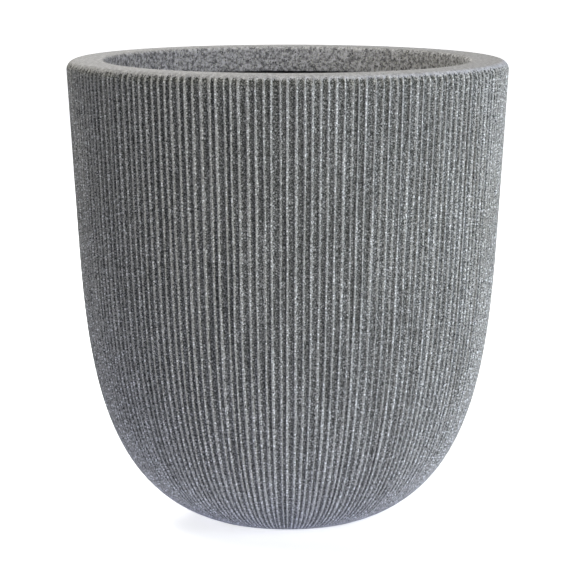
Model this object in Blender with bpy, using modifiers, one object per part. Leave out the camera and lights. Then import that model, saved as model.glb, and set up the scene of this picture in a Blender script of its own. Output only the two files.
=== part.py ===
"""A tall round-bottomed plastic planter: ribbed outside, rolled rim, rubber drain plugs and rubber feet.

Metres, +Z up. The origin is on the ground under the middle of the pot, and the pot's axis is the Z axis.
"""

import math

import bmesh
import bpy
from mathutils import Vector, noise

# The moulded shell, outside
RIM_RADIUS = 0.2
SHELL_HEIGHT = 0.418
RIM_EDGE_RADIUS = 0.0085
SIDE_TAPER = 0.0573
BOWL_START_HEIGHT = 0.269
FOOT_RADIUS = 0.082
BOWL_FOOT_HANDLE = 0.1
BOWL_FOOT_ANGLE = math.radians(20.2)
BOWL_SIDE_HANDLE = 0.114

# The ribs, which stand between grooves from just under the rim down to the foot
RIB_COUNT = 184
RIB_DEPTH = 0.0018
GROOVE_TOP_BELOW_RIM = 0.002
GROOVE_FOOT_LENGTH = 0.012

# In parts of a rib's pitch: how far from its crest a groove's flat floor starts, how many times that it grows
# to where the pitch closes up towards the foot, and how unevenly the crests are spaced
GROOVE_FLOOR_START = 0.28
CREST_WIDENING = 1.5
SPACING_CHANGE = 0.15

# The wall and the turned-in lip round the mouth
WALL = 0.0055
FLOOR = 0.0065
MOUTH_RADIUS = 0.1655
MOUTH_EDGE_RADIUS = 0.0035
LIP_DROP = 0.0242
LIP_WALL = 0.0045
RIM_UNDERSIDE_EASE = 0.006

# The drain holes and their rubber plugs
DRAIN_COUNT = 4
DRAIN_CIRCLE_RADIUS = 0.042
DRAIN_HOLE_RADIUS = 0.009
PLUG_FLANGE_RADIUS = 0.014
PLUG_FLANGE_HEIGHT = 0.0028
PLUG_NECK_RADIUS = 0.0033
PLUG_KNOB_RADIUS = 0.0058
PLUG_KNOB_HEIGHT = 0.005
PLUG_GRIP_HEIGHT = 0.0105
PLUG_SEAL_GROOVE = 0.0006
PLUG_SEALING_RINGS = 2
PLUG_PROUD_BELOW = 0.001

# The rubber feet, each in a shallow seat in the underside
PAD_COUNT = 4
PAD_CIRCLE_RADIUS = 0.06
PAD_RADIUS = 0.012
PAD_HEIGHT = 0.0055
PAD_EDGE = 0.001
PAD_STANDOFF = 0.004

# Clearance between pieces that touch
GAP = 0.0003

# How close a point counts as the same one
SAME_PLACE = 0.00002

# How finely round shapes are divided. The ribbed rows down the bowl start at a part of its length and gather
# towards the rounder foot. They stand out a little, so that flat faces lie on both sides of the true curve
COLUMNS_PER_RIB = 3
RIB_ROWS_ON_BOWL = 6
FIRST_BOWL_ROW = 0.2
ROW_GATHERING = 1.2
ROW_STAND_OUT = 0.0005
PLAIN_SEGMENTS = 72
OUTER_EDGE_STEPS = 2
MOUTH_EDGE_STEPS = 2
INNER_BOWL_ROWS = 5
FINE_ROWS = 200
HOLE_SEGMENTS = 20
PLUG_SEGMENTS = 16
PLUG_EDGE_STEPS = 2

BASE = PAD_STANDOFF
FLOOR_TOP = BASE + FLOOR
RIM_TOP = BASE + SHELL_HEIGHT
SMOOTH_ANGLE = math.radians(35)


def clear_scene():
    for obj in list(bpy.data.objects):
        bpy.data.objects.remove(obj, do_unlink=True)


def new_collection(name):
    collection = bpy.data.collections.new(name)
    bpy.context.scene.collection.children.link(collection)
    return collection


def linear(hex_colour):
    """An sRGB hex colour as linear RGBA."""
    channels = [int(hex_colour[i : i + 2], 16) / 255 for i in (1, 3, 5)]
    curved = [c / 12.92 if c <= 0.04045 else ((c + 0.055) / 1.055) ** 2.4 for c in channels]
    return (*curved, 1.0)


def new_material(name, hex_colour, roughness):
    material = bpy.data.materials.new(name)
    material.use_nodes = True
    shader = material.node_tree.nodes["Principled BSDF"]
    shader.inputs["Base Color"].default_value = linear(hex_colour)
    shader.inputs["Roughness"].default_value = roughness
    shader.inputs["Metallic"].default_value = 0.0
    material.diffuse_color = linear(hex_colour)
    return material


def new_object(name, bm, collection, material):
    """The finished bmesh as an object of its own, smooth but for its sharp edges."""
    mesh = bpy.data.meshes.new(name)
    bmesh.ops.recalc_face_normals(bm, faces=bm.faces[:])
    bm.to_mesh(mesh)
    bm.free()
    mesh.materials.append(material)
    mesh.shade_smooth()
    mesh.set_sharp_from_angle(angle=SMOOTH_ANGLE)
    obj = bpy.data.objects.new(name, mesh)
    collection.objects.link(obj)
    return obj


def arc(centre_r, centre_z, radius, start, end, steps):
    """Profile points (r, z) along an arc, from one angle to the other, both ends included."""
    angles = [start + (end - start) * i / steps for i in range(steps + 1)]
    return [(centre_r + radius * math.cos(a), centre_z + radius * math.sin(a)) for a in angles]


def side_radius(z):
    """The outside radius on the straight, slightly tapered upper side."""
    return RIM_RADIUS - (RIM_TOP - RIM_EDGE_RADIUS - z) * SIDE_TAPER


def bowl_outline(parts, inset):
    """Profile points (r, z) down the rounded bottom, at parts from 0 to 1, moved in by inset.

    The outline is one Bezier curve from the tapered side to the foot, tangent to the side.
    """
    top_z = BASE + BOWL_START_HEIGHT
    top = Vector((side_radius(top_z), top_z))
    foot = Vector((FOOT_RADIUS, BASE))
    top_handle = top - BOWL_SIDE_HANDLE * Vector((SIDE_TAPER, 1.0))
    foot_handle = foot + BOWL_FOOT_HANDLE * Vector((math.cos(BOWL_FOOT_ANGLE), math.sin(BOWL_FOOT_ANGLE)))
    points = []
    for t in parts:
        s = 1.0 - t
        place = s**3 * top + 3 * s * s * t * top_handle + 3 * s * t * t * foot_handle + t**3 * foot
        start_run = s * (top_handle - top) + t * (foot_handle - top_handle)
        end_run = s * (foot_handle - top_handle) + t * (foot - foot_handle)
        run = s * start_run + t * end_run
        inward = Vector((run.y, -run.x)).normalized()
        moved = place + inset * inward
        points.append((moved.x, moved.y))
    return points


def groove_depth_at(z, radius):
    """How deep the grooves are at a height: none on the rim or the foot, and full between."""
    from_top = (RIM_TOP - GROOVE_TOP_BELOW_RIM - z) / (RIM_EDGE_RADIUS - GROOVE_TOP_BELOW_RIM)
    from_foot = (radius - FOOT_RADIUS) / GROOVE_FOOT_LENGTH
    return RIB_DEPTH * min(1.0, max(0.0, from_top), max(0.0, from_foot))


def spin_profile(bm, points, segments):
    """The profile turned once round Z. It gives the vertices of the turned surface, point by point."""
    chain = [bm.verts.new((r, 0.0, z)) for r, z in points]
    edges = [bm.edges.new(pair) for pair in zip(chain, chain[1:])]
    before = set(bm.verts) - set(chain)
    bmesh.ops.spin(
        bm,
        geom=chain + edges,
        cent=(0, 0, 0),
        axis=(0, 0, 1),
        angle=2 * math.pi,
        steps=segments,
        use_merge=True,
        use_duplicate=False,
    )
    turned = [v for v in bm.verts if v not in before]
    return [[v for v in turned if near(v, point)] for point in points]


def near(vert, point):
    """Whether a vertex lies on the circle that a profile point makes."""
    r, z = point
    return abs(math.hypot(vert.co.x, vert.co.y) - r) < SAME_PLACE and abs(vert.co.z - z) < SAME_PLACE


def loop_edges(verts):
    """The edges that join these vertices to each other."""
    ring = set(verts)
    return list({e for v in verts for e in v.link_edges if e.other_vert(v) in ring})


def crest_place(rib):
    """Where a rib's crest stands round the pot, in rib pitches, with a repeatable shift of its own."""
    return rib + SPACING_CHANGE * noise.cell(Vector((rib % RIB_COUNT + 0.5, 1.5, 0.5)))


def column_place(rib, column, radius):
    """Where a rib's crest, or one of the two edges of the next groove's floor, stands round the pot."""
    crest = crest_place(rib)
    pitch = crest_place(rib + 1) - crest
    floor_start = GROOVE_FLOOR_START * min(RIM_RADIUS / radius, CREST_WIDENING)
    return crest + pitch * (0.0, floor_start, 1.0 - floor_start)[column]


def shape_ribs(rows):
    """Move the turned side's columns into ribs. Each has a crest, then the two edges of a groove's floor."""
    columns = COLUMNS_PER_RIB * RIB_COUNT
    for row in rows:
        for vert in row:
            turn = math.atan2(vert.co.y, vert.co.x) / (2 * math.pi)
            rib, column = divmod(round(turn * columns) % columns, COLUMNS_PER_RIB)
            radius = math.hypot(vert.co.x, vert.co.y)
            angle = 2 * math.pi * column_place(rib, column, radius) / RIB_COUNT
            if column > 0:
                radius -= groove_depth_at(vert.co.z, radius)
            vert.co.x = radius * math.cos(angle)
            vert.co.y = radius * math.sin(angle)


def ribbed_outline():
    """Profile points down the ribbed side, from where the grooves start to the foot."""
    groove_top = RIM_TOP - GROOVE_TOP_BELOW_RIM
    edge_foot = RIM_TOP - RIM_EDGE_RADIUS
    edge = [(outer_radius(z), z) for z in (groove_top, edge_foot)]
    left = [(1 - i / RIB_ROWS_ON_BOWL) ** ROW_GATHERING for i in range(RIB_ROWS_ON_BOWL)]
    parts = [1 - (1 - FIRST_BOWL_ROW) * part for part in left]
    return edge + bowl_outline(parts, -ROW_STAND_OUT) + [(FOOT_RADIUS, BASE)]


def outer_radius(z):
    """The outside radius near the rim, where the edge rounding may still draw it in."""
    above = z - (RIM_TOP - RIM_EDGE_RADIUS)
    if above <= 0:
        return side_radius(z)
    return RIM_RADIUS - RIM_EDGE_RADIUS + math.sqrt(RIM_EDGE_RADIUS**2 - above**2)


def rim_and_inside_outline():
    """Profile points from above the grooves over the rim, round the lip and down the inside to the floor."""
    groove_top = RIM_TOP - GROOVE_TOP_BELOW_RIM
    start_angle = math.asin((groove_top - RIM_TOP + RIM_EDGE_RADIUS) / RIM_EDGE_RADIUS)
    quarter = math.pi / 2
    outer_edge = arc(RIM_RADIUS - RIM_EDGE_RADIUS, RIM_TOP - RIM_EDGE_RADIUS, RIM_EDGE_RADIUS,
                     start_angle, quarter, OUTER_EDGE_STEPS)[1:]
    mouth_edge = arc(MOUTH_RADIUS + MOUTH_EDGE_RADIUS, RIM_TOP - MOUTH_EDGE_RADIUS, MOUTH_EDGE_RADIUS,
                     quarter, 2 * quarter, MOUTH_EDGE_STEPS)
    lip_foot = RIM_TOP - LIP_DROP
    lip_edge = [(MOUTH_RADIUS, lip_foot), (MOUTH_RADIUS + LIP_WALL, lip_foot)]
    under_rim = RIM_TOP - WALL
    inner_wall = side_radius(under_rim) - WALL
    channel = [
        (MOUTH_RADIUS + LIP_WALL, under_rim),
        (inner_wall - RIM_UNDERSIDE_EASE, under_rim),
        (inner_wall, under_rim - RIM_UNDERSIDE_EASE),
    ]
    return outer_edge + mouth_edge + lip_edge + channel + inner_bowl_outline()


def inner_bowl_outline():
    """Profile points down the inside of the bowl, one wall in from the outside, to the floor's edge."""
    parts = [i / FINE_ROWS for i in range(FINE_ROWS + 1)]
    fine = [point for point in bowl_outline(parts, WALL) if point[1] > FLOOR_TOP]
    picked = [fine[round(i * (len(fine) - 1) / INNER_BOWL_ROWS)] for i in range(INNER_BOWL_ROWS)]
    return picked + [(fine[-1][0], FLOOR_TOP)]


def fill_disc(bm, ring):
    """One flat face across a ring of vertices."""
    bmesh.ops.contextual_create(bm, geom=loop_edges(ring))


def drill(target, name, place, radius, bottom, top, helpers):
    """A round hole cut through the target, between two heights."""
    bm = bmesh.new()
    bmesh.ops.create_cone(bm, cap_ends=True, segments=HOLE_SEGMENTS, radius1=radius, radius2=radius,
                          depth=top - bottom)
    mesh = bpy.data.meshes.new(name)
    bm.to_mesh(mesh)
    bm.free()
    cutter = bpy.data.objects.new(name, mesh)
    cutter.location = (place.x, place.y, (top + bottom) / 2)
    cutter.hide_render = True
    cutter.display_type = "WIRE"
    helpers.objects.link(cutter)
    cut = target.modifiers.new(name, "BOOLEAN")
    cut.operation = "DIFFERENCE"
    cut.object = cutter


def ring_places(count, radius, first_angle):
    """Places spread evenly on a circle round the pot's axis."""
    angles = [first_angle + 2 * math.pi * i / count for i in range(count)]
    return [Vector((radius * math.cos(a), radius * math.sin(a), 0.0)) for a in angles]


def drain_places():
    return ring_places(DRAIN_COUNT, DRAIN_CIRCLE_RADIUS, 0.0)


def pad_places():
    return ring_places(PAD_COUNT, PAD_CIRCLE_RADIUS, math.pi / PAD_COUNT)


def make_pot_shell(parts, helpers):
    """The one-piece moulding: ribbed side and bottom, rolled rim, turned-in lip, plain inside and floor."""
    bm = bmesh.new()
    ribbed = spin_profile(bm, ribbed_outline(), COLUMNS_PER_RIB * RIB_COUNT)
    inside = spin_profile(bm, rim_and_inside_outline(), PLAIN_SEGMENTS)
    bmesh.ops.bridge_loops(bm, edges=loop_edges(ribbed[0]) + loop_edges(inside[0]))
    fill_disc(bm, ribbed[-1])
    fill_disc(bm, inside[-1])
    shape_ribs(ribbed)
    bmesh.ops.triangulate(bm, faces=bm.faces[:])
    shell = new_object("pot_shell", bm, parts, new_material("stone_effect_plastic", "#7b7c7e", 0.85))
    for i, place in enumerate(drain_places(), start=1):
        drill(shell, f"drain_hole_{i}", place, DRAIN_HOLE_RADIUS, BASE - FLOOR, FLOOR_TOP + FLOOR, helpers)
    seat_top = PAD_HEIGHT + GAP
    for i, place in enumerate(pad_places(), start=1):
        drill(shell, f"pad_seat_{i}", place, PAD_RADIUS + GAP, BASE - FLOOR, seat_top, helpers)


def turned_object(name, points, place, collection, material):
    """A small solid turned from a profile that runs down its outer side, standing at a place."""
    mesh = bpy.data.meshes.new(name)
    bm = bmesh.new()
    chain = [bm.verts.new((r, 0.0, z)) for r, z in points]
    for pair in zip(chain, chain[1:]):
        bm.edges.new(pair)
    bm.to_mesh(mesh)
    bm.free()
    mesh.materials.append(material)
    obj = bpy.data.objects.new(name, mesh)
    obj.location = place
    screw = obj.modifiers.new("turn", "SCREW")
    screw.steps = PLUG_SEGMENTS
    screw.render_steps = PLUG_SEGMENTS
    screw.use_merge_vertices = True
    screw.merge_threshold = SAME_PLACE
    screw.use_smooth_shade = True
    collection.objects.link(obj)
    return obj


def plug_outline():
    """Profile points down a plug: grip knob, neck, flange, then a shank with sealing rings."""
    flange_foot = FLOOR_TOP + GAP
    flange_top = flange_foot + PLUG_FLANGE_HEIGHT
    top = flange_top + PLUG_GRIP_HEIGHT
    shank_radius = DRAIN_HOLE_RADIUS - GAP
    shank_foot = BASE - PLUG_PROUD_BELOW
    half_ring = (flange_foot - shank_foot) / (2 * PLUG_SEALING_RINGS)
    half = PLUG_KNOB_HEIGHT / 2
    quarter = math.pi / 2
    knob = arc(PLUG_KNOB_RADIUS - half, top - half, half, quarter, -quarter, 2 * PLUG_EDGE_STEPS)
    flange_edge = arc(PLUG_FLANGE_RADIUS - PLUG_FLANGE_HEIGHT / 2, flange_top - PLUG_FLANGE_HEIGHT / 2,
                      PLUG_FLANGE_HEIGHT / 2, quarter, 0.0, PLUG_EDGE_STEPS)
    shank = [(PLUG_FLANGE_RADIUS, flange_foot), (shank_radius, flange_foot)]
    for i in range(PLUG_SEALING_RINGS):
        shank.append((shank_radius, flange_foot - (2 * i + 1) * half_ring))
        shank.append((shank_radius - PLUG_SEAL_GROOVE, flange_foot - (2 * i + 2) * half_ring))
    neck = [(PLUG_NECK_RADIUS, top - PLUG_KNOB_HEIGHT), (PLUG_NECK_RADIUS, flange_top)]
    return [(0.0, top)] + knob[:-1] + neck + flange_edge + shank + [(0.0, shank_foot)]


def pad_outline():
    """Profile points down a foot pad, with its edges eased."""
    return [
        (0.0, PAD_HEIGHT),
        (PAD_RADIUS, PAD_HEIGHT),
        (PAD_RADIUS, PAD_EDGE),
        (PAD_RADIUS - PAD_EDGE, 0.0),
        (0.0, 0.0),
    ]


def make_drain_plugs(parts):
    """The rubber plugs, pushed into the floor from inside, each pulled out straight up by its knob."""
    rubber = new_material("black_rubber", "#1d1d1e", 0.6)
    for i, place in enumerate(drain_places(), start=1):
        turned_object(f"drain_plug_{i}", plug_outline(), place, parts, rubber)


def make_foot_pads(parts):
    """The rubber feet, which keep the drain holes clear of the ground."""
    rubber = new_material("grey_rubber", "#2f3032", 0.75)
    for i, place in enumerate(pad_places(), start=1):
        turned_object(f"foot_pad_{i}", pad_outline(), place, parts, rubber)


def main():
    clear_scene()
    parts = new_collection("ribbed_planter")
    helpers = new_collection("cutters")
    make_pot_shell(parts, helpers)
    make_drain_plugs(parts)
    make_foot_pads(parts)


main()
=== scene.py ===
"""A tall ribbed planter, rotationally moulded in stone-effect plastic, with rubber plugs and feet.

Metres, +Z up. The pot stands on the ground at the origin, and its axis is the Z axis.
"""

import math

import bmesh
import bpy
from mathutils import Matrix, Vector, noise


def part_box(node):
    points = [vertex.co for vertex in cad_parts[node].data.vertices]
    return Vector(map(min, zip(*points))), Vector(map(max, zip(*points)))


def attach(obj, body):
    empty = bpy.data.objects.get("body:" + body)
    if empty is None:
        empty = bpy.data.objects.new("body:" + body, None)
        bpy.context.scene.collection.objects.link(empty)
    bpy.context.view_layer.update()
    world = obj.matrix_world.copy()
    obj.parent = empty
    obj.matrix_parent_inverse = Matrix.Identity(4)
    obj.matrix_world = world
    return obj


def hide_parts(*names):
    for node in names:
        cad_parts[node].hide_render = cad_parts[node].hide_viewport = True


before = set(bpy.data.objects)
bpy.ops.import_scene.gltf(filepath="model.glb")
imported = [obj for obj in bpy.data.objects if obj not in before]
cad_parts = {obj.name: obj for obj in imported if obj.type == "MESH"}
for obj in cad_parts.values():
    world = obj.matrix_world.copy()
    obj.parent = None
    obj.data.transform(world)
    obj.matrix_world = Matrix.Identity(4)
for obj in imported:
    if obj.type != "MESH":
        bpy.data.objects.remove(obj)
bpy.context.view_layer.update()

MM = 0.001

# The shell's reach, from its solid
SHELL_LOW, SHELL_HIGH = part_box("pot_shell")
RIM_RADIUS = (SHELL_HIGH[0] - SHELL_LOW[0]) / 2
RIM_TOP = SHELL_HIGH[2]
BASE = SHELL_LOW[2]

# The outline of the side and the rounded bottom
RIM_EDGE_RADIUS = 8.5 * MM
SIDE_TAPER = 0.0573
BOWL_START_HEIGHT = 269 * MM
FOOT_RADIUS = 82 * MM
BOWL_FOOT_HANDLE = 100 * MM
BOWL_FOOT_ANGLE = math.radians(20.2)
BOWL_SIDE_HANDLE = 114 * MM

# The ribs. Across one rib go the two edges of its flat crest, the foot of its flank, the two edges
# of the next groove's floor and the foot of the next flank. Each has its place in rib pitches and
# its part of the full depth
RIB_COUNT = 184
RIB_DEPTH = 1.8 * MM
RIB_SECTION = ((-0.07, 0.0), (0.07, 0.0), (0.21, 0.86), (0.38, 1.0), (0.62, 1.0), (0.79, 0.86))
# The section's first columns keep to their own crest, and its last one to the next crest
OWN_CREST_COLUMNS = 3
# Crests keep their width where the pitch closes up, until they fill this many times their part
CREST_WIDENING = 1.5
GROOVE_TOP_ANGLE = 68
GROOVE_TOP_LENGTH = 7 * MM
GROOVE_FOOT_LENGTH = 11 * MM

# How uneven the ribs are, as parts of a pitch, a width or a depth
SPACING_CHANGE = 0.15
WANDER = 0.045
WIDTH_CHANGE = 0.25
DEPTH_CHANGE = 0.35
# How much higher or lower a groove starts, and how far along a rib a change takes
TOP_CHANGE = 0.6 * MM
CHANGE_LENGTH = 65 * MM
# What a rib's unevenness is looked up by, and how far apart the ribs and kinds lie in the noise
PLACE_KIND = 1
WIDTH_KIND = 2
DEPTH_KIND = 3
TOP_KIND = 2
RIB_STEP = 3.71
KIND_STEP = 7.3

# How far down the ribs the rim's smooth finish runs out, then painted top light: the crests keep
# a trace of the rim's pale tone, fading over this length, that stands in for the light from above
RIM_FINISH_LENGTH = 9 * MM
PAINTED_TOP_LIGHT = 0.11
PAINTED_TOP_LIGHT_LENGTH = 130 * MM

# The mouth, the turned-in lip and the wall
MOUTH_RADIUS = 165.5 * MM
MOUTH_EDGE_RADIUS = 3.5 * MM
LIP_DROP = 24.2 * MM
LIP_WALL = 4.5 * MM
LIP_EDGE = 0.7 * MM
WALL = 5.5 * MM
FLOOR = 6.5 * MM
FLOOR_TOP = BASE + FLOOR
RIM_UNDERSIDE_RADIUS = 6 * MM
CHANNEL_CORNER_RADIUS = 3 * MM

# The drain holes and their plugs, and the seats and their feet. Their edges are eased, and a gap is
# left all round a plug or a foot
DRAIN_HOLE_RADIUS = 9 * MM
EDGE_EASE = 0.5 * MM
UNDERSIDE_BORDER = 2 * MM
GAP = 0.3 * MM
PLUG_FLANGE_RADIUS = 14 * MM
PLUG_FLANGE_HEIGHT = 2.8 * MM
PLUG_NECK_RADIUS = 3.3 * MM
PLUG_NECK_FILLET = 1.2 * MM
PLUG_KNOB_RADIUS = 5.8 * MM
PLUG_KNOB_HEIGHT = 5 * MM
PLUG_DIMPLE_RADIUS = 2.4 * MM
PLUG_DIMPLE_DEPTH = 0.5 * MM
PLUG_SEAL_GROOVE = 0.6 * MM
PLUG_SEALING_RINGS = 2
PAD_EDGE = 1 * MM
PAD_RINGS = (4 * MM, 7.5 * MM)
PAD_RING_WIDTH = 0.9 * MM

# How finely the shell is divided, round it and then along its profile
RIM_COLUMNS = 368
INSIDE_COLUMNS = 184
HOLE_COLUMNS = 40
EDGE_ROWS = 8
SIDE_ROWS = 15
BOWL_ROWS = 36
RIM_CURVE_ROWS = 5
MOUTH_EDGE_ROWS = 6
FLAT_ROWS = 4
LIP_EDGE_ROWS = 3
CHANNEL_CORNER_ROWS = 3
CEILING_ROWS = 2
UNDER_RIM_ROWS = 4
INSIDE_ROWS = 24
OUTLINE_ROWS = 240

# How finely the rubber pieces are divided
SMALL_COLUMNS = 64
KNOB_ROWS = 12
FILLET_ROWS = 5
FLANGE_ROWS = 8
SEALING_RING_ROWS = 8
PAD_EDGE_ROWS = 5
PAD_RING_ROWS = 6

# Vertices closer than this become one, and edges sharper than this stay sharp
MERGE_DISTANCE = 0.001 * MM
SHARP_ANGLE = math.radians(50)

# The height that the skin's tones take a surface for, 0 in a groove and 1 on a crest: where there
# are no ribs, and on the rim, so high that no groove tone gets there
PLAIN_HEIGHT = 0.5
RIM_HEIGHT = 2.0
# The shell's finishes by number
SKIN = 0
BARE_INSIDE = 1

PLUGS = sorted(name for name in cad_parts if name.startswith("drain_plug"))
PADS = sorted(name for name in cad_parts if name.startswith("foot_pad"))


def arc(centre, radius, start, end, steps):
    """Profile points (r, z) along an arc between two angles in degrees, both ends included."""
    angles = [math.radians(start + (end - start) * i / steps) for i in range(steps + 1)]
    return [(centre[0] + radius * math.cos(a), centre[1] + radius * math.sin(a)) for a in angles]


def stretch(start, end, steps):
    """Profile points along a straight stretch, without its first point."""
    parts = [i / steps for i in range(1, steps + 1)]
    reach = (end[0] - start[0], end[1] - start[1])
    return [(start[0] + reach[0] * t, start[1] + reach[1] * t) for t in parts]


def smooth(x):
    """0 below 0, 1 above 1, and an even S between."""
    x = min(1.0, max(0.0, x))
    return x * x * (3 - 2 * x)


def side_radius(z):
    """The outside radius on the straight, slightly tapered upper side."""
    return RIM_RADIUS - (RIM_TOP - RIM_EDGE_RADIUS - z) * SIDE_TAPER


def bowl_outline(rows, inset):
    """Profile points down the rounded bottom, a Bezier curve moved in from the outside by inset."""
    top_z = BASE + BOWL_START_HEIGHT
    top = Vector((side_radius(top_z), top_z))
    foot = Vector((FOOT_RADIUS, BASE))
    foot_way = Vector((math.cos(BOWL_FOOT_ANGLE), math.sin(BOWL_FOOT_ANGLE)))
    upper = top - BOWL_SIDE_HANDLE * Vector((SIDE_TAPER, 1.0))
    lower = foot + BOWL_FOOT_HANDLE * foot_way
    points = []
    for i in range(rows + 1):
        t = i / rows
        s = 1.0 - t
        place = s**3 * top + 3 * s * s * t * upper + 3 * s * t * t * lower + t**3 * foot
        along = s * s * (upper - top) + 2 * s * t * (lower - upper) + t * t * (foot - lower)
        moved = place + inset * Vector((along.y, -along.x)).normalized()
        points.append((moved.x, moved.y))
    return points


def turn(bm, points, columns):
    """A sheet rolled once round Z along a profile, given as one ring of vertices for each point."""
    rows = len(points) - 1
    sheet = bmesh.ops.create_grid(bm, x_segments=columns, y_segments=rows, size=1.0)["verts"]
    sheet.sort(key=lambda vert: (vert.co.y, vert.co.x))
    width = columns + 1
    rings = [sheet[i * width : (i + 1) * width] for i in range(len(points))]
    for ring, (radius, z) in zip(rings, points):
        for i, vert in enumerate(ring):
            angle = 2 * math.pi * i / columns
            vert.co = (radius * math.cos(angle), radius * math.sin(angle), z)
    bmesh.ops.weld_verts(bm, targetmap={ring[-1]: ring[0] for ring in rings})
    return [ring[:-1] for ring in rings]


def ring_edges(ring):
    """The edges that join the vertices of a ring to each other, in the same order each run."""
    members = set(ring)
    edges = [edge for vert in ring for edge in vert.link_edges if edge.other_vert(vert) in members]
    return list(dict.fromkeys(edges))


def join_rings(bm, first, second):
    """A band of faces between two rings, also where one has more vertices than the other."""
    bmesh.ops.bridge_loops(bm, edges=ring_edges(first) + ring_edges(second))


def circle(bm, place, radius, z, columns):
    """A ring of vertices round a place."""
    ring = bmesh.ops.create_circle(bm, cap_ends=False, radius=radius, segments=columns)["verts"]
    bmesh.ops.translate(bm, verts=ring, vec=(place[0], place[1], z))
    return ring


def node_centre(node):
    """Where the middle of a solid stands on the ground plan."""
    low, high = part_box(node)
    return ((low[0] + high[0]) / 2, (low[1] + high[1]) / 2)


def finish_piece(name, bm, materials, body, node):
    """The finished bmesh as a smooth object that rides on a body and stands for its solid."""
    bmesh.ops.remove_doubles(bm, verts=bm.verts[:], dist=MERGE_DISTANCE)
    bmesh.ops.recalc_face_normals(bm, faces=bm.faces[:])
    mesh = bpy.data.meshes.new(name)
    bm.to_mesh(mesh)
    bm.free()
    for material in materials:
        mesh.materials.append(material)
    mesh.shade_smooth()
    mesh.set_sharp_from_angle(angle=SHARP_ANGLE)
    piece = bpy.data.objects.new(name, mesh)
    bpy.context.scene.collection.objects.link(piece)
    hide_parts(node)
    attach(piece, body)


# The shell's profile


def ribbed_outline():
    """Profile points down the ribbed side, from the grooves' start on the rim to the foot."""
    centre = (RIM_RADIUS - RIM_EDGE_RADIUS, RIM_TOP - RIM_EDGE_RADIUS)
    edge = arc(centre, RIM_EDGE_RADIUS, GROOVE_TOP_ANGLE, 0, EDGE_ROWS)
    bowl = bowl_outline(BOWL_ROWS, 0.0)
    return edge + stretch(edge[-1], bowl[0], SIDE_ROWS) + bowl[1:]


def rim_outline():
    """Profile points from above the grooves over the flat rim and round the lip's free edge."""
    centre = (RIM_RADIUS - RIM_EDGE_RADIUS, RIM_TOP - RIM_EDGE_RADIUS)
    edge = arc(centre, RIM_EDGE_RADIUS, GROOVE_TOP_ANGLE, 90, RIM_CURVE_ROWS)[1:]
    mouth_centre = (MOUTH_RADIUS + MOUTH_EDGE_RADIUS, RIM_TOP - MOUTH_EDGE_RADIUS)
    mouth = arc(mouth_centre, MOUTH_EDGE_RADIUS, 90, 180, MOUTH_EDGE_ROWS)
    corner_z = RIM_TOP - LIP_DROP + LIP_EDGE
    lip = stretch(mouth[-1], (MOUTH_RADIUS, corner_z), FLAT_ROWS)
    inner_centre = (MOUTH_RADIUS + LIP_EDGE, corner_z)
    inner_edge = arc(inner_centre, LIP_EDGE, 180, 270, LIP_EDGE_ROWS)[1:]
    outer_centre = (MOUTH_RADIUS + LIP_WALL - LIP_EDGE, corner_z)
    outer_edge = arc(outer_centre, LIP_EDGE, 270, 360, LIP_EDGE_ROWS)
    flat = stretch(edge[-1], mouth[0], FLAT_ROWS)
    return edge + flat + mouth[1:] + lip + inner_edge + outer_edge


def inside_outline():
    """Profile points up behind the lip, under the rim and down the wall to the floor's edge."""
    ceiling = RIM_TOP - WALL
    behind_lip = MOUTH_RADIUS + LIP_WALL
    inner_wall = side_radius(ceiling) - WALL
    corner_centre = (behind_lip + CHANNEL_CORNER_RADIUS, ceiling - CHANNEL_CORNER_RADIUS)
    corner = arc(corner_centre, CHANNEL_CORNER_RADIUS, 180, 90, CHANNEL_CORNER_ROWS)
    outer_centre = (inner_wall - RIM_UNDERSIDE_RADIUS, ceiling - RIM_UNDERSIDE_RADIUS)
    outer = arc(outer_centre, RIM_UNDERSIDE_RADIUS, 90, 0, UNDER_RIM_ROWS)
    fine = [point for point in bowl_outline(OUTLINE_ROWS, WALL) if point[1] > FLOOR_TOP]
    wall = [fine[round(i * (len(fine) - 1) / INSIDE_ROWS)] for i in range(INSIDE_ROWS)]
    down = stretch(outer[-1], wall[0], FLAT_ROWS) + wall[1:] + [(fine[-1][0], FLOOR_TOP)]
    return corner + stretch(corner[-1], outer[0], CEILING_ROWS) + outer[1:] + down


# The ribs' unevenness. Every change is repeatable


def change_of_rib(rib, kind):
    """One change for a whole rib, from -1 to 1, looked up at the middle of its cell."""
    return noise.cell(Vector((rib % RIB_COUNT + 0.5, kind + 0.5, 0.5)))


def change_along_rib(rib, z, kind):
    """A change that comes and goes along a rib, round 0 and mostly between -1 and 1."""
    across = rib % RIB_COUNT * RIB_STEP + 0.5
    return 2 * noise.noise(Vector((across, z / CHANGE_LENGTH, kind * KIND_STEP)))


def crest_place(rib, z):
    """Where a rib's crest stands round the pot, in rib pitches."""
    shift = SPACING_CHANGE * change_of_rib(rib, PLACE_KIND)
    return rib + shift + WANDER * change_along_rib(rib, z, PLACE_KIND)


def crest_width(rib, z):
    """How many times its usual width a crest has."""
    return 1 + WIDTH_CHANGE * change_along_rib(rib, z, WIDTH_KIND)


def groove_top_part(rib, below_edge):
    """How far a groove has opened under the rim, from 0 to 1."""
    start = TOP_CHANGE * change_of_rib(rib, TOP_KIND)
    return smooth((below_edge - start) / GROOVE_TOP_LENGTH)


def column_place(rib, column, radius, z):
    """Where one column of the section stands round the pot, in rib pitches."""
    offset = RIB_SECTION[column][0]
    crest = crest_place(rib, z)
    next_crest = crest_place(rib + 1, z)
    pitch = next_crest - crest
    kept_width = min(RIM_RADIUS / radius, CREST_WIDENING)
    if column < OWN_CREST_COLUMNS:
        return crest + pitch * offset * kept_width * crest_width(rib, z)
    if column == len(RIB_SECTION) - 1:
        return next_crest - pitch * (1 - offset) * kept_width * crest_width(rib + 1, z)
    return crest + pitch * offset


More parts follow.
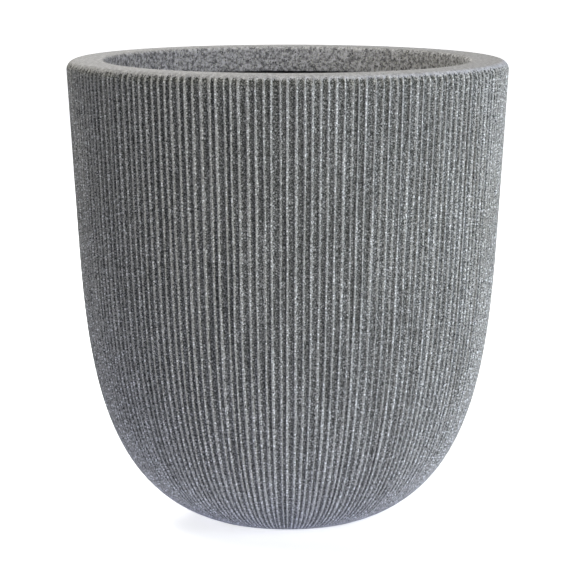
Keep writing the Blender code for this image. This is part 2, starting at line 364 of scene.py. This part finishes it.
def shape_ribs(rings, outline):
    """Move the side's columns into ribs and grooves, and give each vertex's zone values."""
    zones = {}
    below_edge = 0.0
    for row, (ring, (radius, z)) in enumerate(zip(rings, outline)):
        if row:
            below_edge += math.dist(outline[row], outline[row - 1])
        foot_part = smooth((radius - FOOT_RADIUS) / GROOVE_FOOT_LENGTH)
        # Painted top light: the crests near the top take a little of the rim's pale tone, fading
        # downwards
        painted_top_light = PAINTED_TOP_LIGHT * (1 - smooth(below_edge / PAINTED_TOP_LIGHT_LENGTH))
        rim_finish_and_top_light = max(1 - smooth(below_edge / RIM_FINISH_LENGTH), painted_top_light)
        for i, vert in enumerate(ring):
            rib, column = divmod(i, len(RIB_SECTION))
            cut = RIB_SECTION[column][1] * groove_top_part(rib, below_edge)
            uneven = 1 + DEPTH_CHANGE * change_along_rib(rib, z, DEPTH_KIND)
            depth = RIB_DEPTH * cut * foot_part * uneven
            angle = 2 * math.pi * column_place(rib, column, radius, z) / RIB_COUNT
            vert.co.x = (radius - depth) * math.cos(angle)
            vert.co.y = (radius - depth) * math.sin(angle)
            height = PLAIN_HEIGHT + (1 - PLAIN_HEIGHT - cut) * foot_part
            zones[vert] = (height, rim_finish_and_top_light, 0.0)
    return zones


# The floor and the underside


def fill_with_holes(bm, rings):
    """Flat faces between an outer ring and the rings of holes inside it."""
    edges = [edge for ring in rings for edge in ring_edges(ring)]
    bmesh.ops.triangle_fill(bm, use_beauty=True, use_dissolve=False, edges=edges)


def drain_hole(bm, place):
    """A drain hole's wall, eased at both ends. It gives its lowest and highest rings."""
    low_edge = ((EDGE_EASE, BASE), (0, BASE + EDGE_EASE))
    high_edge = ((0, FLOOR_TOP - EDGE_EASE), (EDGE_EASE, FLOOR_TOP))
    steps = low_edge + high_edge
    rings = [circle(bm, place, DRAIN_HOLE_RADIUS + wider, z, HOLE_COLUMNS) for wider, z in steps]
    for pair in zip(rings, rings[1:]):
        join_rings(bm, *pair)
    return rings[0], rings[-1]


def pad_seat(bm, node):
    """A foot's round seat, sunk in the underside and eased at its mouth. It gives that ring."""
    low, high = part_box(node)
    radius = (high[0] - low[0]) / 2 + GAP
    steps = ((EDGE_EASE, BASE), (0, BASE + EDGE_EASE), (0, high[2] + GAP))
    rings = [circle(bm, node_centre(node), radius + wider, z, HOLE_COLUMNS) for wider, z in steps]
    for pair in zip(rings, rings[1:]):
        join_rings(bm, *pair)
    bmesh.ops.contextual_create(bm, geom=ring_edges(rings[-1]))
    return rings[0]


# The shell's zones, which its skin reads


def zone_of(vert, ribbed, rim):
    """A vertex's height for the tones, its part of the rim's finish or painted top light, and the
    lip's.
    """
    if vert in ribbed:
        return ribbed[vert]
    if vert not in rim:
        return PLAIN_HEIGHT, 0.0, 0.0
    on_lip = vert.co.xy.length < MOUTH_RADIUS + LIP_WALL
    below = (RIM_TOP - vert.co.z) / (MOUTH_EDGE_RADIUS / 2)
    return RIM_HEIGHT, 1.0, smooth(below) if on_lip else 0.0


def mark_zones(bm, layer, ribbed, rim, bare):
    """Store the zones on the vertices, and give the bare plastic's faces their material."""
    for vert in bm.verts:
        vert[layer] = (*zone_of(vert, ribbed, rim), 1.0)
    for face in bm.faces:
        centre = face.calc_center_median()
        at_floor = BASE + EDGE_EASE < centre.z < FLOOR_TOP + EDGE_EASE
        in_floor = at_floor and centre.xy.length < FOOT_RADIUS
        inside = in_floor or any(vert in bare for vert in face.verts)
        face.material_index = BARE_INSIDE if inside else SKIN


def make_shell(skin, inside_finish):
    """The one-piece moulding, ribbed outside, with a rolled rim, turned-in lip and plain inside."""
    bm = bmesh.new()
    layer = bm.verts.layers.float_color.new("zones")
    outline = ribbed_outline()
    side = turn(bm, outline, RIB_COUNT * len(RIB_SECTION))
    ribbed = shape_ribs(side, outline)
    rim = turn(bm, rim_outline(), RIM_COLUMNS)
    inside = turn(bm, inside_outline(), INSIDE_COLUMNS)
    underside = circle(bm, (0.0, 0.0), FOOT_RADIUS - UNDERSIDE_BORDER, BASE, INSIDE_COLUMNS)
    join_rings(bm, side[0], rim[0])
    join_rings(bm, rim[-1], inside[0])
    join_rings(bm, side[-1], underside)
    drains = [drain_hole(bm, node_centre(node)) for node in PLUGS]
    seats = [pad_seat(bm, node) for node in PADS]
    fill_with_holes(bm, [underside] + [low for low, _ in drains] + seats)
    fill_with_holes(bm, [inside[-1]] + [high for _, high in drains])
    rim_verts = {vert for ring in rim for vert in ring}
    bare = {vert for ring in inside for vert in ring}
    mark_zones(bm, layer, ribbed, rim_verts, bare)
    finishes = (skin, inside_finish)
    finish_piece("stone_effect_shell", bm, finishes, "pot", "pot_shell")


# Plugs and feet


def plug_outline(top, foot):
    """Profile points down a plug: dimpled knob, neck, flange, and a shank with sealing rings."""
    flange_foot = FLOOR_TOP + GAP
    flange_top = flange_foot + PLUG_FLANGE_HEIGHT
    half_knob = PLUG_KNOB_HEIGHT / 2
    half_flange = PLUG_FLANGE_HEIGHT / 2
    dimple_z = top - PLUG_DIMPLE_DEPTH
    dimple = [(0.0, dimple_z), (PLUG_DIMPLE_RADIUS / 2, dimple_z), (PLUG_DIMPLE_RADIUS, top)]
    knob_centre = (PLUG_KNOB_RADIUS - half_knob, top - half_knob)
    knob = arc(knob_centre, half_knob, 90, -90, KNOB_ROWS)
    neck_top = [(PLUG_NECK_RADIUS, top - PLUG_KNOB_HEIGHT)]
    fillet_centre = (PLUG_NECK_RADIUS + PLUG_NECK_FILLET, flange_top + PLUG_NECK_FILLET)
    fillet = arc(fillet_centre, PLUG_NECK_FILLET, 180, 270, FILLET_ROWS)
    flange_centre = (PLUG_FLANGE_RADIUS - half_flange, flange_top - half_flange)
    flange = arc(flange_centre, half_flange, 90, -90, FLANGE_ROWS)
    shank = []
    steps = SEALING_RING_ROWS * PLUG_SEALING_RINGS
    for i in range(steps + 1):
        part = i / steps
        wave = (1 - math.cos(2 * math.pi * PLUG_SEALING_RINGS * part)) / 2
        radius = DRAIN_HOLE_RADIUS - GAP - PLUG_SEAL_GROOVE * (1 - wave)
        shank.append((radius, flange_foot + (foot - flange_foot) * part))
    return dimple + knob + neck_top + fillet + flange + shank + [(0.0, foot)]


def pad_outline(radius, top):
    """Profile points down a foot: flat top, side, rounded lower edge, and anti-slip rings."""
    upper = [(0.0, top), (radius - EDGE_EASE, top), (radius, top - EDGE_EASE)]
    edge = arc((radius - PAD_EDGE, PAD_EDGE), PAD_EDGE, 0, -90, PAD_EDGE_ROWS)
    underside = []
    for ring in reversed(PAD_RINGS):
        underside += arc((ring, 0.0), PAD_RING_WIDTH / 2, 0, 180, PAD_RING_ROWS)
    return upper + edge + underside + [(0.0, 0.0)]


def make_small_piece(name, points, finish, body, node):
    """A turned rubber piece at its solid's place."""
    bm = bmesh.new()
    turn(bm, points, SMALL_COLUMNS)
    place = node_centre(node)
    bmesh.ops.translate(bm, verts=bm.verts[:], vec=(place[0], place[1], 0.0))
    finish_piece(name, bm, (finish,), body, node)


def make_rubber_pieces(plug_rubber, foot_rubber):
    """The plugs, each on its own body, and the feet, which stay with the pot."""
    for node in PLUGS:
        low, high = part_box(node)
        points = plug_outline(high[2], low[2])
        make_small_piece(f"rubber_{node}", points, plug_rubber, node, node)
    for node in PADS:
        low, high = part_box(node)
        points = pad_outline((high[0] - low[0]) / 2, high[2])
        make_small_piece(f"rubber_{node}", points, foot_rubber, "pot", node)


# Finishes

# The sizes of their patterns in mm. The plastic's finest pits and the rubber's moulding grain are
# finer in reality than the render can show, so they are drawn coarser
GRAIN = 1.2
FINE_GRAIN = 1.1
BLOTCH = 3.3
GRANULE_SPACING = 2.2
BARE_GRANULE_SPACING = 2.5
FLOW_CLOUD = 33
ORANGE_PEEL = 2.5
BLOOM_PATCH = 4
RUBBER_GRAIN = 0.33

# How high the pits, the orange peel and the moulding grain stand
PIT_HEIGHT = 0.35 * MM
PEEL_HEIGHT = 0.3 * MM
RUBBER_GRAIN_HEIGHT = 0.1 * MM

# Dark and light tones of the skin's zones and of the bare inside, and the granules' tones
GROOVE_TONES = ("#2e302c", "#747571")
CREST_TONES = ("#60615c", "#b7b7ae")
RIM_TONES = ("#a8a9af", "#d3d4da")
LIP_TONES = ("#818288", "#f6f7fe")
BARE_TONES = ("#46474a", "#616266")
DARK_GRANULE = "#222325"
LIGHT_GRANULE = "#ebede9"
BARE_GRANULE = "#a2a3a4"

# How far the grain frays the crests' edges, as a part of a rib's height
RAGGEDNESS = 1.7
# How much grain there is in the blotches, and how much fine grain in the pits
BLOTCH_GRAIN = 0.4
PIT_FINE_GRAIN = 0.6
# By how much the smooth rim has fewer granules and lower pits
RIM_CALM = 0.5

# Where a granule ends, as a part of the spacing from its middle
GRANULE_END = 0.42
# For each kind of granule its spacing, how far from its middle it is full, and the random numbers
# between which it fades in, so that many cells stay empty
LIGHT_GRANULES = (GRANULE_SPACING, 0.2, 0.15, 0.6)
DARK_GRANULES = (GRANULE_SPACING, 0.22, 0.55, 0.9)
BARE_GRANULES = (BARE_GRANULE_SPACING, 0.2, 0.55, 0.95)
# How far the dark granules' cells are moved in mm, clear of the light ones'
DARK_SHIFT = (31.7, 12.3, 5.9)

POLYETHYLENE_IOR = 1.51
RUBBER_IOR = 1.52

# A mix node's sockets: its factor, its two colours and their mix, and its two values
FACTOR = 0
FIRST = 6
SECOND = 7
MIXED = 2
FIRST_VALUE = 2
SECOND_VALUE = 3


def linear(hex_colour):
    """An sRGB hex colour as linear RGBA."""
    channels = [int(hex_colour[i : i + 2], 16) / 255 for i in (1, 3, 5)]
    curved = [c / 12.92 if c <= 0.04045 else ((c + 0.055) / 1.055) ** 2.4 for c in channels]
    return (*curved, 1.0)


def add(tree, kind, inputs, out=0, **settings):
    """One node with its settings and what feeds it, given as the socket that it gives."""
    node = tree.nodes.new(kind)
    for name, value in settings.items():
        setattr(node, name, value)
    for socket, value in inputs.items():
        if isinstance(value, bpy.types.NodeSocket):
            tree.links.new(value, node.inputs[socket])
        else:
            node.inputs[socket].default_value = value
    return node.outputs[out]


def new_material(name):
    """A material, its tree, its shader, and the object's own coordinates in millimetres."""
    material = bpy.data.materials.new(name)
    material.use_nodes = True
    tree = material.node_tree
    place = add(tree, "ShaderNodeTexCoord", {}, out="Object")
    mm = add(tree, "ShaderNodeVectorMath", {0: place, "Scale": 1 / MM}, operation="SCALE")
    return material, tree, tree.nodes["Principled BSDF"], mm


def scatter(tree, place, spacing, full, fade_from, fade_to):
    """Round granules, at most one to a cell of the spacing: 1 inside them and 0 between them."""
    cell = add(tree, "ShaderNodeTexVoronoi", {"Vector": place, "Scale": 1 / spacing},
               out="Distance")
    pick = add(tree, "ShaderNodeSeparateColor", {"Color": cell.node.outputs["Color"]}, out="Red")
    spot = add(tree, "ShaderNodeMapRange",
               {"Value": cell, "From Min": GRANULE_END, "From Max": full})
    chosen = add(tree, "ShaderNodeMapRange",
                 {"Value": pick, "From Min": fade_from, "From Max": fade_to})
    return add(tree, "ShaderNodeMath", {0: spot, 1: chosen}, operation="MULTIPLY")


def stone_effect_skin():
    """Polyethylene moulded with light and dark mineral-coloured granules in it.

    It gives the eye a matt, finely pitted stone look: grains of 1 to 2 mm, light crests with ragged
    edges, dark grooves with grey worms, a smoother pale rim, and a blotchy mid-grey lip.
    """
    material, tree, shader, mm = new_material("stone_effect_polyethylene")
    zones = add(tree, "ShaderNodeAttribute", {}, out="Color", attribute_name="zones")
    height = add(tree, "ShaderNodeSeparateColor", {"Color": zones}, out="Red")
    # The rim's finish, which on the ribs' upper part also carries painted top light
    rim = height.node.outputs["Green"]
    lip = height.node.outputs["Blue"]

    # Grain and fine grain, and what is made of them: the grooves' worms and the crests' frost
    grain = add(tree, "ShaderNodeTexNoise",
                {"Vector": mm, "Scale": 1 / GRAIN, "Detail": 1.0, "Roughness": 0.6})
    fine = add(tree, "ShaderNodeTexNoise",
               {"Vector": mm, "Scale": 1 / FINE_GRAIN, "Detail": 1.0, "Roughness": 0.6})
    worms = add(tree, "ShaderNodeMapRange", {"Value": grain, "From Min": 0.36, "From Max": 0.66},
                interpolation_type="SMOOTHSTEP")
    frost = add(tree, "ShaderNodeMapRange", {"Value": fine, "From Min": 0.3, "From Max": 0.7})

    # Broad blotches with some grain in them, for the rim and the lip
    blotch = add(tree, "ShaderNodeTexNoise",
                 {"Vector": mm, "Scale": 1 / BLOTCH, "Detail": 2.0, "Roughness": 0.5})
    mottle = add(tree, "ShaderNodeMath", {0: grain, 1: BLOTCH_GRAIN, 2: blotch},
                 operation="MULTIPLY_ADD")
    blotches = add(tree, "ShaderNodeMapRange",
                   {"Value": mottle, "From Min": 0.56, "From Max": 0.86})

    # Crests with ragged edges. The fraying is even to both sides, as the grain's mean is a half
    ragged = add(tree, "ShaderNodeMath", {0: grain, 1: RAGGEDNESS, 2: -RAGGEDNESS / 2},
                 operation="MULTIPLY_ADD")
    uneven = add(tree, "ShaderNodeMath", {0: height, 1: ragged}, operation="ADD")
    crest = add(tree, "ShaderNodeMapRange", {"Value": uneven, "From Min": 0.17, "From Max": 0.62},
                interpolation_type="SMOOTHSTEP")

    # Each zone's tones in its own pattern, and the zones put together
    groove_tone, crest_tone, rim_tone, lip_tone = (
        add(tree, "ShaderNodeMix", {FACTOR: pattern, FIRST: linear(dark), SECOND: linear(light)},
            out=MIXED, data_type="RGBA")
        for pattern, (dark, light) in (
            (worms, GROOVE_TONES),
            (frost, CREST_TONES),
            (blotches, RIM_TONES),
            (blotches, LIP_TONES),
        )
    )
    # Towards the top the crests turn a little to the rim's pale tone: painted top light
    raised = add(tree, "ShaderNodeMix", {FACTOR: rim, FIRST: crest_tone, SECOND: rim_tone},
                 out=MIXED, data_type="RGBA")
    outside = add(tree, "ShaderNodeMix", {FACTOR: crest, FIRST: groove_tone, SECOND: raised},
                  out=MIXED, data_type="RGBA")
    tone = add(tree, "ShaderNodeMix", {FACTOR: lip, FIRST: outside, SECOND: lip_tone},
               out=MIXED, data_type="RGBA")

    # Light and dark granules, fewer on the smooth rim. The light ones gather on the crests
    smooth_part = add(tree, "ShaderNodeMath", {0: rim, 1: lip}, operation="SUBTRACT")
    rough_part = add(tree, "ShaderNodeMath", {0: smooth_part, 1: -RIM_CALM, 2: 1.0},
                     operation="MULTIPLY_ADD")
    light_mask = scatter(tree, mm, *LIGHT_GRANULES)
    gathered = add(tree, "ShaderNodeMapRange", {"Value": height, "To Min": 0.35, "To Max": 1.0})
    light_here = add(tree, "ShaderNodeMath", {0: gathered, 1: rough_part}, operation="MULTIPLY")
    light_part = add(tree, "ShaderNodeMath", {0: light_mask, 1: light_here}, operation="MULTIPLY")
    dark_place = add(tree, "ShaderNodeVectorMath", {0: mm, 1: DARK_SHIFT}, operation="ADD")
    dark_mask = scatter(tree, dark_place, *DARK_GRANULES)
    dark_part = add(tree, "ShaderNodeMath", {0: dark_mask, 1: rough_part}, operation="MULTIPLY")
    darker = add(tree, "ShaderNodeMix",
                 {FACTOR: dark_part, FIRST: tone, SECOND: linear(DARK_GRANULE)},
                 out=MIXED, data_type="RGBA")
    colour = add(tree, "ShaderNodeMix",
                 {FACTOR: light_part, FIRST: darker, SECOND: linear(LIGHT_GRANULE)},
                 out=MIXED, data_type="RGBA")
    tree.links.new(colour, shader.inputs["Base Color"])

    # The granules' faces are a little smoother than the pitted plastic
    roughness = add(tree, "ShaderNodeMapRange",
                    {"Value": light_part, "To Min": 0.85, "To Max": 0.6})
    tree.links.new(roughness, shader.inputs["Roughness"])
    shader.inputs["IOR"].default_value = POLYETHYLENE_IOR
    shader.inputs["Specular IOR Level"].default_value = 0.3

    # Pits and grains, half as strong on the smooth rim
    pits = add(tree, "ShaderNodeMath", {0: fine, 1: PIT_FINE_GRAIN, 2: grain},
               operation="MULTIPLY_ADD")
    bump = add(tree, "ShaderNodeBump",
               {"Height": pits, "Strength": rough_part, "Distance": PIT_HEIGHT}, out="Normal")
    tree.links.new(bump, shader.inputs["Normal"])
    return material


def bare_polyethylene():
    """The moulding's bare inside, which no mould wall has touched: the same plastic, dull and even.

    It gives the eye a dark grey with faint flow clouds, a few pale granules of 1 to 2 mm and an
    orange-peel surface.
    """
    material, tree, shader, mm = new_material("bare_polyethylene")
    dark, light = BARE_TONES
    clouds = add(tree, "ShaderNodeTexNoise",
                 {"Vector": mm, "Scale": 1 / FLOW_CLOUD, "Detail": 4.0, "Distortion": 0.8})
    base = add(tree, "ShaderNodeMix",
               {FACTOR: clouds, FIRST: linear(dark), SECOND: linear(light)},
               out=MIXED, data_type="RGBA")
    granule_part = scatter(tree, mm, *BARE_GRANULES)
    colour = add(tree, "ShaderNodeMix",
                 {FACTOR: granule_part, FIRST: base, SECOND: linear(BARE_GRANULE)},
                 out=MIXED, data_type="RGBA")
    tree.links.new(colour, shader.inputs["Base Color"])
    peel = add(tree, "ShaderNodeTexNoise", {"Vector": mm, "Scale": 1 / ORANGE_PEEL, "Detail": 2.0})
    roughness = add(tree, "ShaderNodeMapRange", {"Value": peel, "To Min": 0.5, "To Max": 0.7})
    tree.links.new(roughness, shader.inputs["Roughness"])
    bump = add(tree, "ShaderNodeBump",
               {"Height": peel, "Strength": 0.4, "Distance": PEEL_HEIGHT}, out="Normal")
    tree.links.new(bump, shader.inputs["Normal"])
    shader.inputs["IOR"].default_value = POLYETHYLENE_IOR
    return material


def moulded_rubber(name, dark, dusty, roughness):
    """Moulded synthetic rubber, duller where it blooms.

    It gives the eye a soft sheen, a pale bloom that gathers in patches, and a fine moulding grain.
    """
    material, tree, shader, mm = new_material(name)
    patches = add(tree, "ShaderNodeTexNoise",
                  {"Vector": mm, "Scale": 1 / BLOOM_PATCH, "Detail": 4.0, "Roughness": 0.65})
    bloom = add(tree, "ShaderNodeMapRange", {"Value": patches, "From Min": 0.4, "From Max": 0.75})
    colour = add(tree, "ShaderNodeMix",
                 {FACTOR: bloom, FIRST: linear(dark), SECOND: linear(dusty)},
                 out=MIXED, data_type="RGBA")
    tree.links.new(colour, shader.inputs["Base Color"])
    dulled = add(tree, "ShaderNodeMapRange",
                 {"Value": bloom, "To Min": roughness, "To Max": roughness + 0.2})
    tree.links.new(dulled, shader.inputs["Roughness"])
    grain = add(tree, "ShaderNodeTexNoise",
                {"Vector": mm, "Scale": 1 / RUBBER_GRAIN, "Detail": 2.0})
    bump = add(tree, "ShaderNodeBump",
               {"Height": grain, "Strength": 0.3, "Distance": RUBBER_GRAIN_HEIGHT}, out="Normal")
    tree.links.new(bump, shader.inputs["Normal"])
    shader.inputs["IOR"].default_value = RUBBER_IOR
    return material


# Floor, light and camera

CAMERA_PLACE = (0.0003, -2.2, 0.5808)
PITCH_DOWN = 0.1665
LENS_MM = 151.4
SENSOR_WIDTH_MM = 36

# How far the floor reaches each way
FLOOR_REACH = 14.0
FLOOR_COLOUR = "#eceef2"
TABLE_COLOUR = "#c4caff"
# The floor's own light where the camera sees it, and the light table's
FLOOR_GLOW = 0.72
TABLE_GLOW = 0.78
# How far out in mm the floor's shadow and the table's full light reach, and where both have faded
SHADOW_RADIUS = 400.0
TABLE_RADIUS = 700.0
FADE_RADIUS = 1300.0

# Each softbox's place, what it points at, its size, its power in watts and its colour
SOFTBOXES = {
    "top_left": ((-1.0, 0.1, 2.1), (0.0, 0.0, 0.4), (0.6, 0.6), 13.8, (1.06, 1.02, 0.92)),
    "top_left_front": ((-0.9, -0.5, 2.1), (0.0, 0.0, 0.4), (0.6, 0.6), 8.5, (1.09, 1.03, 0.88)),
    "front_right": ((1.6, -1.8, 1.0), (0.0, 0.0, 0.25), (1.0, 1.0), 23.0, (1.0, 1.0, 1.0)),
    "front_right_low": ((1.5, -1.9, 0.22), (0.0, 0.0, 0.15), (1.0, 0.35), 11.5, (1.05, 1.02, 0.93)),
    "side_low_right": ((1.6, -0.6, 0.24), (0.0, 0.0, 0.2), (1.0, 0.4), 9.5, (0.82, 0.97, 1.25)),
    "back": ((-0.3, 2.3, 0.8), (0.0, 0.0, 0.2), (1.0, 0.8), 12.0, (1.0, 1.0, 1.0)),
}


def background_rays(tree):
    """1 for rays that show the white background: the camera's, gloss's and a clear piece's."""
    camera = add(tree, "ShaderNodeLightPath", {}, out="Is Camera Ray")
    paths = camera.node.outputs
    gloss = add(tree, "ShaderNodeMath", {0: camera, 1: paths["Is Glossy Ray"]},
                operation="MAXIMUM")
    return add(tree, "ShaderNodeMath", {0: gloss, 1: paths["Is Transmission Ray"]},
               operation="MAXIMUM")


def make_camera():
    """A long lens a little above the pot, in front of it."""
    data = bpy.data.cameras.new("camera")
    data.sensor_fit = "HORIZONTAL"
    data.sensor_width = SENSOR_WIDTH_MM
    data.lens = LENS_MM
    camera = bpy.data.objects.new("camera", data)
    camera.location = CAMERA_PLACE
    camera.rotation_euler = (math.pi / 2 - PITCH_DOWN, 0.0, 0.0)
    bpy.context.scene.collection.objects.link(camera)
    bpy.context.scene.camera = camera


def make_floor():
    """A pale floor with a cool light table in it.

    The camera sees it nearly white, with the pot's faint shadow.
    """
    bm = bmesh.new()
    bmesh.ops.create_grid(bm, x_segments=1, y_segments=1, size=FLOOR_REACH)
    mesh = bpy.data.meshes.new("floor")
    bm.to_mesh(mesh)
    bm.free()
    floor = bpy.data.objects.new("floor", mesh)
    material, tree, shader, mm = new_material("studio_floor")
    shader.inputs["Base Color"].default_value = linear(FLOOR_COLOUR)
    seen = background_rays(tree)
    tint = add(tree, "ShaderNodeMix",
               {FACTOR: seen, FIRST: linear(TABLE_COLOUR), SECOND: linear("#ffffff")},
               out=MIXED, data_type="RGBA")
    tree.links.new(tint, shader.inputs["Emission Color"])
    away = add(tree, "ShaderNodeVectorMath", {0: mm}, out="Value", operation="LENGTH")
    lit = add(tree, "ShaderNodeMapRange",
              {"Value": away, "From Min": TABLE_RADIUS, "From Max": FADE_RADIUS,
               "To Min": TABLE_GLOW, "To Max": 0.0})
    shown = add(tree, "ShaderNodeMapRange",
                {"Value": away, "From Min": SHADOW_RADIUS, "From Max": FADE_RADIUS,
                 "To Min": FLOOR_GLOW, "To Max": 1.0})
    glow = add(tree, "ShaderNodeMix", {FACTOR: seen, FIRST_VALUE: lit, SECOND_VALUE: shown})
    tree.links.new(glow, shader.inputs["Emission Strength"])
    mesh.materials.append(material)
    bpy.context.scene.collection.objects.link(floor)


def make_world():
    """A dark studio, and pure white where the camera sees past the floor."""
    world = bpy.data.worlds.new("studio")
    world.use_nodes = True
    tree = world.node_tree
    background = tree.nodes["Background"].inputs
    background["Color"].default_value = (1.0, 1.0, 1.0, 1.0)
    tree.links.new(background_rays(tree), background["Strength"])
    bpy.context.scene.world = world


def make_lamp(name, place, aim, size, power, colour):
    """A softbox turned towards a point."""
    data = bpy.data.lights.new(name, "AREA")
    data.shape = "RECTANGLE"
    data.size, data.size_y = size
    data.energy = power
    data.color = colour
    lamp = bpy.data.objects.new(name, data)
    lamp.location = place
    lamp.rotation_euler = (Vector(aim) - Vector(place)).to_track_quat("-Z", "Y").to_euler()
    bpy.context.scene.collection.objects.link(lamp)


make_camera()
make_shell(stone_effect_skin(), bare_polyethylene())
make_rubber_pieces(
    moulded_rubber("black_plug_rubber", "#151516", "#2e2e2f", 0.5),
    moulded_rubber("grey_foot_rubber", "#28292b", "#434446", 0.65),
)
make_floor()
make_world()
for name, settings in SOFTBOXES.items():
    make_lamp(name, *settings)
bpy.context.scene.view_settings.view_transform = "Standard"
